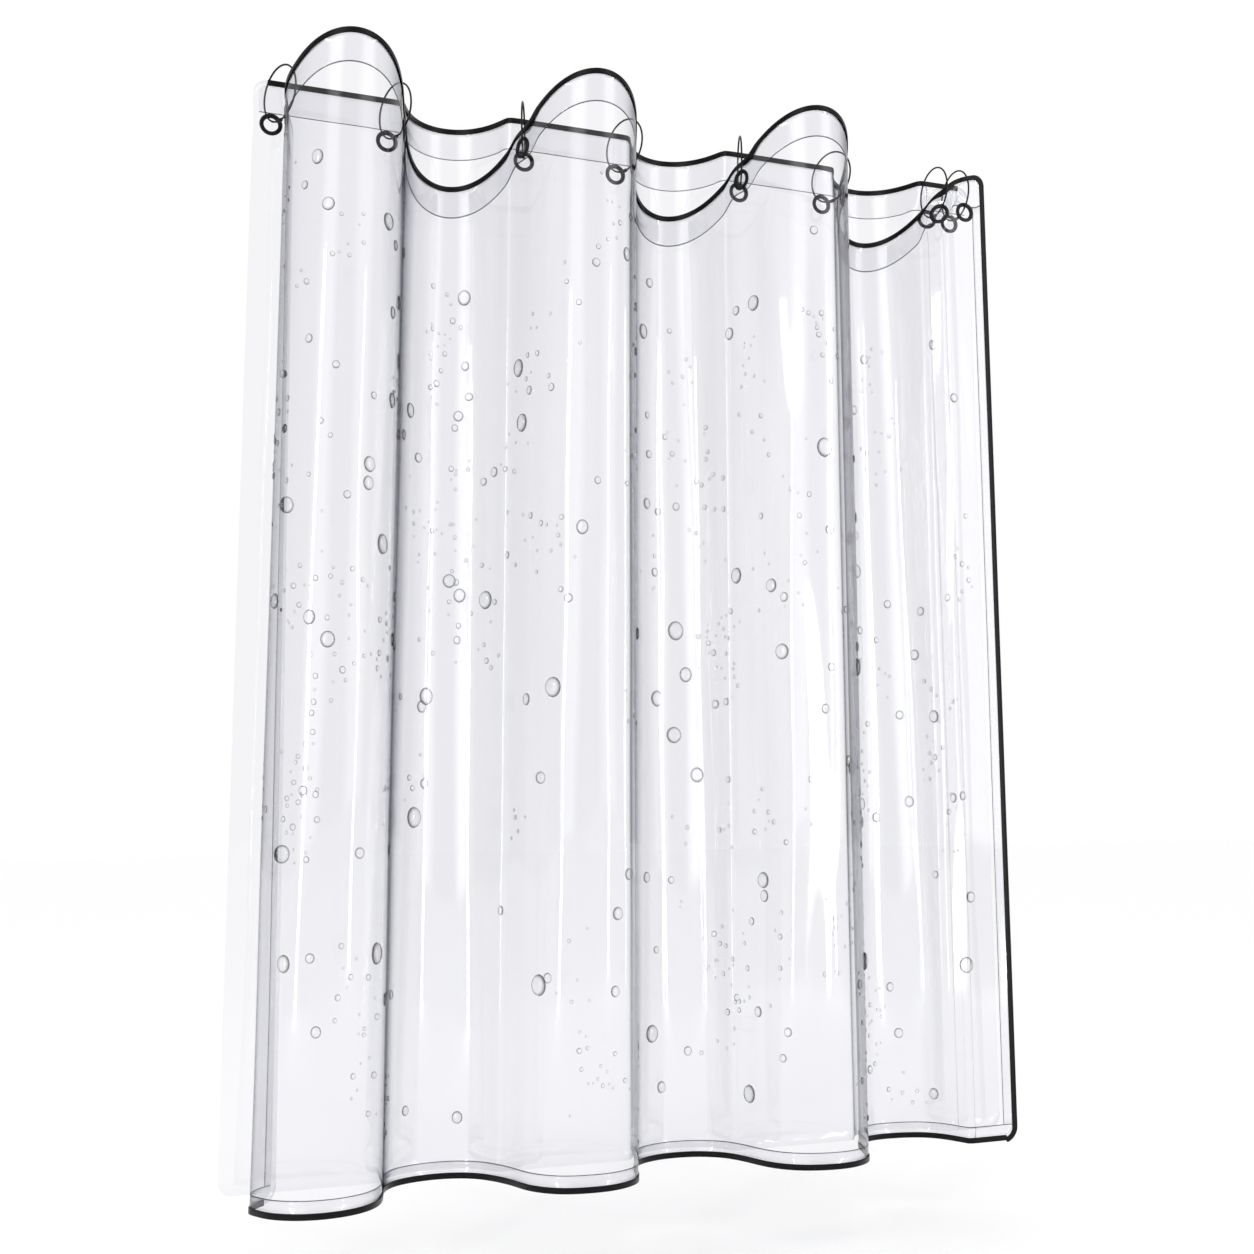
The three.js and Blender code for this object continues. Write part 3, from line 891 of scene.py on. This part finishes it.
class Eyelets(bpy.types.Operator):
    """Turn the eyelets and their washers, and set them in both films"""

    bl_idname = "curtain.eyelets"
    bl_label = "Eyelets"

    def execute(self, context):
        sizes, colours = read_values(context)
        nylon = moulded_nylon(colours)
        hole, face = sizes.eyelet_hole / 2, sizes.eyelet_face / 2
        front = sizes.film / 2 + RUNNING_GAP
        back = front + 0.0004 + RUNNING_GAP
        top, rear = front + 0.0016, -back - 0.0012
        barrel = [
            (hole, rear + 0.0002),
            (hole + 0.0002, rear),
            (hole + 0.0008, rear),
            (hole + 0.001, rear + 0.0002),
            (hole + 0.001, front),
            (face - 0.0002, front),
            (face, front + 0.0003),
            (face - 0.0003, front + 0.0009),
            (face - 0.0012, top - 0.0003),
            (face - 0.0025, top),
            (hole + 0.0022, top),
            (hole + 0.0008, top - 0.0002),
            (hole, top - 0.0009),
        ]
        inside, outside = hole + 0.001 + RUNNING_GAP, face - 0.001
        washer = [
            (inside, -back),
            (inside, rear + 0.0002),
            (inside + 0.0003, rear),
            (outside - 0.0014, rear),
            (outside - 0.0004, rear + 0.0004),
            (outside, -back - 0.0003),
            (outside - 0.0002, -back),
        ]
        for layer, drape in (("outer", hang_outer(sizes)), ("inner", hang_inner(sizes))):
            for k, (_, _, (middle, along, out)) in enumerate(drape.patches, 1):
                matrix = standing(middle, along, out.cross(along), out)
                for kind, profile in (("eyelet", barrel), ("washer", washer)):
                    made = spun(profile, matrix, 56)
                    name = f"{layer}_{kind}_moulded_{k}"
                    piece = to_object(name, made, nylon, smooth_angle=50)
                    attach(piece, carrier_of(k))
                    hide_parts(f"{layer}_{kind}_{k}")
        return {"FINISHED"}


class Rings(bpy.types.Operator):
    """Bend the rings and close them with their clasps"""

    bl_idname = "curtain.rings"
    bl_label = "Rings"

    def execute(self, context):
        sizes, colours = read_values(context)
        steel = coated_steel(colours)
        radius, wire = sizes.ring_radius, sizes.ring_wire / 2
        gap = (sizes.clasp_length / 2 + RUNNING_GAP) / radius
        half, wide = sizes.clasp_length / 2, sizes.clasp_width / 2
        barrel = [
            (0.0, -half),
            (wide - 0.0010, -half),
            (wide - 0.0003, -half + 0.0003),
            (wide, -half + 0.0010),
            (wide, -0.0009),
            (wide - 0.0004, -0.0005),
            (wide - 0.0004, 0.0005),
            (wide, 0.0009),
            (wide, half - 0.0010),
            (wide - 0.0003, half - 0.0003),
            (wide - 0.0010, half),
            (0.0, half),
        ]
        for k in range(1, RING_COUNT + 1):
            middle, to_rear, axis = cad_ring(k)
            made = bmesh.new()
            lie = Matrix.Rotation(gap - math.pi / 2, 4, "Z") @ Matrix.Translation((radius, 0, 0))
            lie = lie @ Matrix.Rotation(math.pi / 2, 4, "X")
            bmesh.ops.create_circle(made, segments=12, radius=wire, matrix=lie)
            bmesh.ops.spin(
                made,
                geom=made.verts[:] + made.edges[:],
                cent=(0, 0, 0),
                axis=(0, 0, 1),
                angle=TURN - 2 * gap,
                steps=96,
            )
            bmesh.ops.remove_doubles(made, verts=made.verts, dist=1e-6)
            close_ends(made)
            matrix = standing(middle, to_rear, UP, axis)
            bmesh.ops.transform(made, matrix=matrix, verts=made.verts)
            ring = to_object(f"ring_wire_{k}", made, steel, smooth_angle=50)
            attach(ring, f"ring_{k}")
            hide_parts(f"ring_{k}")
            lowest = middle - UP * radius
            matrix = standing(lowest, axis, UP, to_rear * -1)
            made = spun(barrel, matrix, 32, closed=False)
            clasp = to_object(f"ring_clasp_barrel_{k}", made, steel, smooth_angle=40)
            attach(clasp, f"ring_{k}")
            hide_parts(f"ring_clasp_{k}")
        return {"FINISHED"}


class Drops(bpy.types.Operator):
    """Scatter water drops over both films"""

    bl_idname = "curtain.drops"
    bl_label = "Water drops"

    APART = 1.3  # how far apart two drops keep, as a share of their half widths together
    BULGE = 0.5  # how far a drop stands out, as a share of its half width

    def scatter(self, drape, chance, large, middling, clusters):
        """Places and half widths: a few large drops, some middling ones and trails of fine ones."""
        margin = 0.05
        places = []

        def free(u, v, r):
            return all(math.hypot(u - a, v - b) > self.APART * (r + c) for a, b, c in places)

        def add(u, v, r):
            inside = margin < u < drape.width - margin and 0.16 < v < drape.drop_at(u) - margin
            if inside and free(u, v, r):
                places.append((u, v, r))

        for count, low, high in ((large, 0.0095, 0.0145), (middling, 0.0055, 0.0090)):
            for _ in range(count):
                add(
                    chance.uniform(margin, drape.width - margin),
                    chance.uniform(0.2, 1.65),
                    chance.uniform(low, high),
                )
        for _ in range(clusters):
            u = chance.uniform(margin, drape.width - margin)
            v = chance.uniform(0.18, 1.68)
            for _ in range(chance.randint(4, 10)):
                r = 0.0019 + 0.0032 * chance.random() ** 2
                add(u + chance.gauss(0, 0.016), v + chance.gauss(0, 0.045), r)
        return places

    def execute(self, context):
        sizes, colours = read_values(context)
        chance = random.Random(7)
        layers = (
            ("outer", hang_outer(sizes), 58, 95, 105),
            ("inner", hang_inner(sizes), 4, 24, 34),
        )
        wet = water(colours)
        dome = bmesh.new()
        bmesh.ops.create_uvsphere(dome, u_segments=12, v_segments=8, radius=1.0)
        below = [v for v in dome.verts if v.co.z < -0.01]
        bmesh.ops.delete(dome, geom=below, context="VERTS")
        close_ends(dome)
        # The dome's height, which the water material turns into painted shade towards each drop's
        # rim
        height = dome.loops.layers.uv.new("dome")
        for face in dome.faces:
            under = all(v.co.z < 0.01 for v in face.verts)
            for loop in face.loops:
                loop[height].uv = (1.0 if under else loop.vert.co.z, 0.0)
        pattern = bpy.data.meshes.new("drop_pattern")
        dome.to_mesh(pattern)
        dome.free()
        for layer, drape, *counts in layers:
            made = bmesh.new()
            for u, v, r in self.scatter(drape, chance, *counts):
                lift = sizes.film / 2 + 0.00005
                here = drape.place(u, v, lift)
                out = (drape.place(u, v, 0.01) - here).normalized()
                side = UP.cross(out).normalized()
                tall = r * chance.uniform(1.05, 1.25)
                shape = Matrix((side * r, UP * tall, out * r * self.BULGE)).transposed().to_4x4()
                drop = pattern.copy()
                drop.transform(Matrix.Translation(here) @ shape)
                made.from_mesh(drop)
                bpy.data.meshes.remove(drop)
            hang_piece(f"{layer}_drops", made, wet, smooth_angle=60)
        bpy.data.meshes.remove(pattern)
        return {"FINISHED"}


class Declare(bpy.types.Operator):
    """Works out each sheet's longest drop and its area as it was cut, before it was hung"""

    bl_idname = "curtain.declare"
    bl_label = "Sheets"

    def execute(self, context):
        sizes, _ = read_values(context)
        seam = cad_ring(RING_COUNT - 1)[0].x
        for layer, drape in (("outer", hang_outer(sizes)), ("inner", hang_inner(sizes))):
            cut = drape.u_where(seam, sizes.drop / 2, 1e-4)
            for suffix, start, end, rings in (
                ("", 0.0, cut, range(1, RING_COUNT - 1)),
                ("_end", cut, drape.width, range(RING_COUNT - 1, RING_COUNT + 1)),
            ):
                slices = [mix(start, end, (i + 0.5) / 200) for i in range(200)]
                longest = max(drape.drop_at(u) for u in slices)
                area = sum(drape.drop_at(u) for u in slices) / len(slices) * (end - start)
                [f"ring_wire_{k}" for k in rings]
        return {"FINISHED"}


class Stage(bpy.types.Operator):
    """Set the floor, the light and the camera"""

    bl_idname = "curtain.stage"
    bl_label = "Stage"

    FLOOR_LEVEL = -1.92
    EYE = (-1.048, -2.571, -1.236)
    YAW, PITCH, ROLL = math.radians(21.3), math.radians(7.0), math.radians(-0.6)
    LENS, SENSOR = 46.507, 36  # mm

    def floor(self, context, colours):
        made = bmesh.new()
        bmesh.ops.create_grid(made, x_segments=1, y_segments=1, size=40.0)
        bmesh.ops.translate(made, verts=made.verts, vec=(0, 0, self.FLOOR_LEVEL))
        paint, tree = new_material("studio floor")
        body = add_node(
            tree,
            "ShaderNodeBsdfPrincipled",
            inputs={
                "Base Color": (*colours.floor, 1),
                "Roughness": 0.9,
                "Specular IOR Level": 0.0,
            },
        )
        add_node(tree, "ShaderNodeOutputMaterial", inputs={"Surface": body.outputs[0]})
        mesh = bpy.data.meshes.new("studio_floor")
        made.to_mesh(mesh)
        made.free()
        mesh.materials.append(paint)
        floor = bpy.data.objects.new("studio_floor", mesh)
        context.scene.collection.objects.link(floor)

    def world(self, context):
        """An even white room. Polished surfaces see grey walls in it, with white strips."""
        world = bpy.data.worlds.new("studio")
        context.scene.world = world
        world.use_nodes = True
        tree = world.node_tree
        tree.nodes.clear()
        towards = add_node(tree, "ShaderNodeTexCoord").outputs["Generated"]
        axes = add_node(tree, "ShaderNodeSeparateXYZ", inputs={"Vector": towards})
        angle = add_node(
            tree,
            "ShaderNodeMath",
            {"operation": "ARCTAN2"},
            {0: axes.outputs["Y"], 1: axes.outputs["X"]},
        )
        share = add_node(
            tree,
            "ShaderNodeMapRange",
            inputs={"Value": angle.outputs[0], "From Min": -math.pi, "From Max": math.pi},
        )
        walls = add_node(tree, "ShaderNodeValToRGB", inputs={"Fac": share.outputs[0]})
        stops = (  # place round the room, and brightness
            (0.00, 0.50), (0.08, 0.55), (0.12, 2.2), (0.17, 2.2), (0.21, 0.60), (0.30, 0.65),
            (0.34, 1.9), (0.38, 1.9), (0.42, 0.55), (0.60, 0.60), (0.66, 0.90), (0.80, 0.90),
            (0.86, 0.50), (1.00, 0.50),
        )
        ramp = walls.color_ramp
        while len(ramp.elements) < len(stops):
            ramp.elements.new(0.5)
        for stop, (place, level) in zip(ramp.elements, stops):
            stop.position = place
            stop.color = (level, level, level * 1.01, 1)
        room = add_node(
            tree, "ShaderNodeBackground", inputs={"Color": (1, 1, 1, 1), "Strength": 1.0}
        )
        seen = add_node(tree, "ShaderNodeBackground", inputs={"Color": walls.outputs["Color"]})
        ray = add_node(tree, "ShaderNodeLightPath")
        both = add_node(
            tree,
            "ShaderNodeMixShader",
            inputs={"Fac": ray.outputs["Is Glossy Ray"], 1: room.outputs[0], 2: seen.outputs[0]},
        )
        add_node(tree, "ShaderNodeOutputWorld", inputs={"Surface": both.outputs[0]})

    def lamp(self, context, name, place, target, wide, tall, power):
        light = bpy.data.lights.new(name, "AREA")
        light.shape = "RECTANGLE"
        light.size, light.size_y, light.energy = wide, tall, power
        lamp = bpy.data.objects.new(name, light)
        lamp.location = place
        lamp.rotation_euler = (Vector(target) - Vector(place)).to_track_quat("-Z", "Y").to_euler()
        context.scene.collection.objects.link(lamp)

    def camera(self, context):
        lens = bpy.data.cameras.new("camera")
        lens.sensor_width = self.SENSOR
        lens.lens = self.LENS
        eye = bpy.data.objects.new("camera", lens)
        ahead, rise = math.cos(self.PITCH), math.sin(self.PITCH)
        gaze = Vector((math.sin(self.YAW) * ahead, math.cos(self.YAW) * ahead, rise))
        level = gaze.to_track_quat("-Z", "Y").to_matrix()
        eye.location = self.EYE
        eye.rotation_euler = (level @ Matrix.Rotation(self.ROLL, 3, "Z")).to_euler()
        context.scene.collection.objects.link(eye)
        context.scene.camera = eye
        context.scene.view_settings.view_transform = "Standard"

    def execute(self, context):
        _, colours = read_values(context)
        self.floor(context, colours)
        self.world(context)
        self.lamp(context, "left_strip", (-3.2, -2.6, -0.6), (0, 0, -0.9), 0.35, 3.0, 45)
        self.lamp(context, "right_strip", (2.4, -3.4, -0.5), (0, 0, -0.9), 0.25, 3.0, 30)
        self.camera(context)
        return {"FINISHED"}


OPERATORS = (
    OuterFilm,
    OuterHems,
    OuterTape,
    InnerFilm,
    InnerTape,
    Eyelets,
    Rings,
    Drops,
    Declare,
    Stage,
)


class CurtainPanel(bpy.types.Panel):
    """Lists the curtain's pieces"""

    bl_idname = "VIEW3D_PT_curtain"
    bl_label = "Shower curtain"
    bl_space_type = "VIEW_3D"
    bl_region_type = "UI"
    bl_category = "Curtain"

    def draw(self, context):
        for operator in OPERATORS:
            self.layout.operator(operator.bl_idname)
        for group in (context.scene.curtain_sizes, context.scene.curtain_colours):
            box = self.layout.box()
            for name in group.bl_rna.properties.keys():
                if name not in ("rna_type", "name"):
                    box.prop(group, name)


CLASSES = (CurtainSizes, CurtainColours, *OPERATORS, CurtainPanel)


def register():
    for kind in CLASSES:
        bpy.utils.register_class(kind)
    bpy.types.Scene.curtain_sizes = bpy.props.PointerProperty(type=CurtainSizes)
    bpy.types.Scene.curtain_colours = bpy.props.PointerProperty(type=CurtainColours)


def unregister():
    del bpy.types.Scene.curtain_colours
    del bpy.types.Scene.curtain_sizes
    for kind in reversed(CLASSES):
        bpy.utils.unregister_class(kind)


def main():
    register()
    for operator in OPERATORS:
        group, name = operator.bl_idname.split(".")
        getattr(getattr(bpy.ops, group), name)()


if __name__ == "__main__":
    main()
